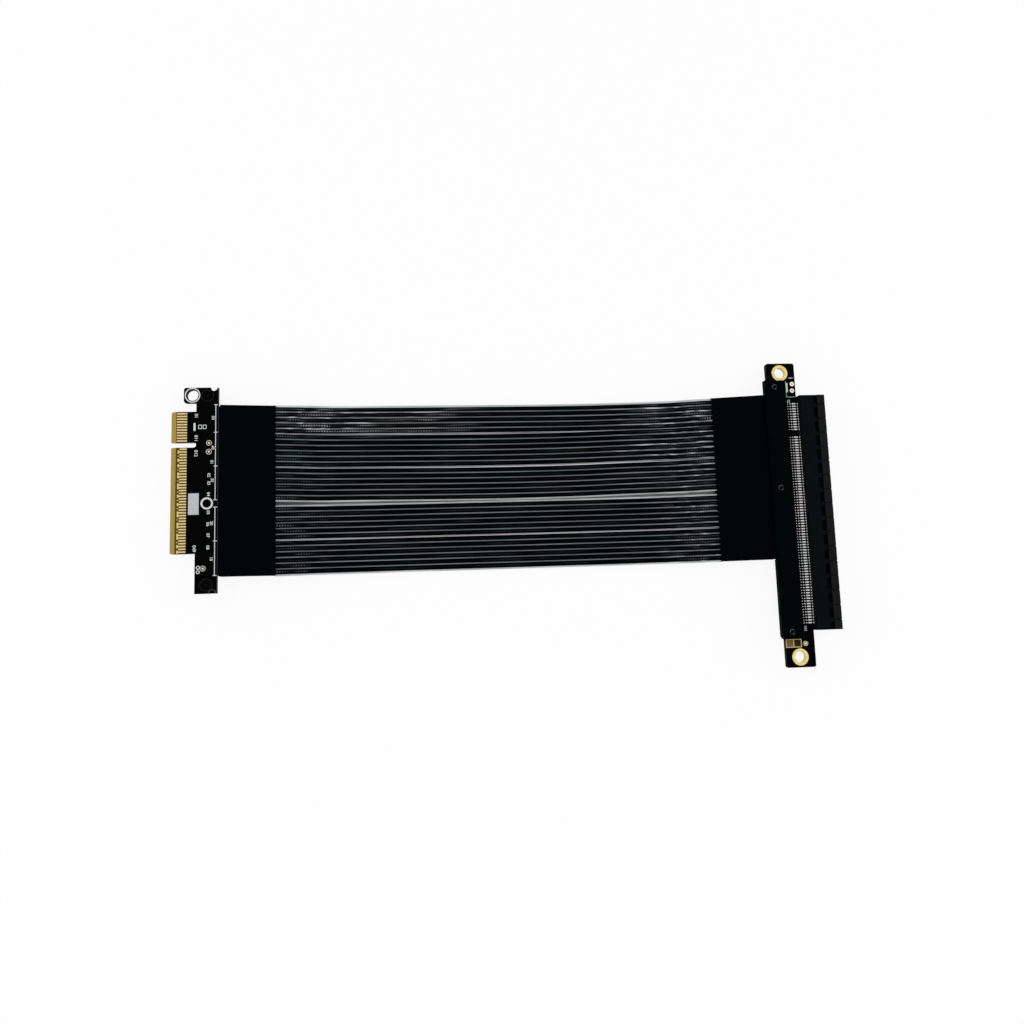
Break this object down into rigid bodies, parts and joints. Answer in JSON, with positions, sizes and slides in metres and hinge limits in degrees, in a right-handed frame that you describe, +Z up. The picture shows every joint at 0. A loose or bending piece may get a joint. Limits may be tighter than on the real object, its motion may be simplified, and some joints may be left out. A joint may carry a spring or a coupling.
{
  "type": "graphics card riser cable",
  "caption": "Flat ribbon riser cable with a short card-edge tab at one end and a long keyed card slot on a drilled board at the other, ribbon ends wrapped in black tape.",
  "frame": {"origin": "under the middle of the whole cable, on the surface that it lies on", "axes": "+X from the card edge to the slot's mouth, +Y towards contact one, +Z up from the surface"},
  "size_m": [0.2422, 0.115, 0.0076],
  "materials": {
    "board_black": "black solder mask on glass laminate",
    "gold": "gold plated copper",
    "tin": "tinned",
    "cover_black": "moulded, fine satin",
    "housing_black": "moulded, fine matt",
    "tape_black": "dull black cloth tape",
    "ribbon_black": "black lobes in a clear film"
  },
  "bodies": {
    "root": {"edge_board": "board_black", "edge_contacts_bottom": "gold", "edge_contacts_top": "gold", "edge_cover": "cover_black", "edge_eyelet": "tin", "edge_tape": "tape_black", "ribbon_bottom_1": "ribbon_black", "ribbon_bottom_2": "ribbon_black", "ribbon_bottom_3": "ribbon_black", "ribbon_bottom_4": "ribbon_black", "ribbon_bottom_5": "ribbon_black", "ribbon_top_1": "ribbon_black", "ribbon_top_2": "ribbon_black", "ribbon_top_3": "ribbon_black", "ribbon_top_4": "ribbon_black", "ribbon_top_5": "ribbon_black", "slot_board": "board_black", "slot_contacts_bottom": "tin", "slot_contacts_top": "tin", "slot_cover_bottom": "cover_black", "slot_cover_top": "cover_black", "slot_housing": "housing_black", "slot_tape": "tape_black"}
  },
  "joints": []
}
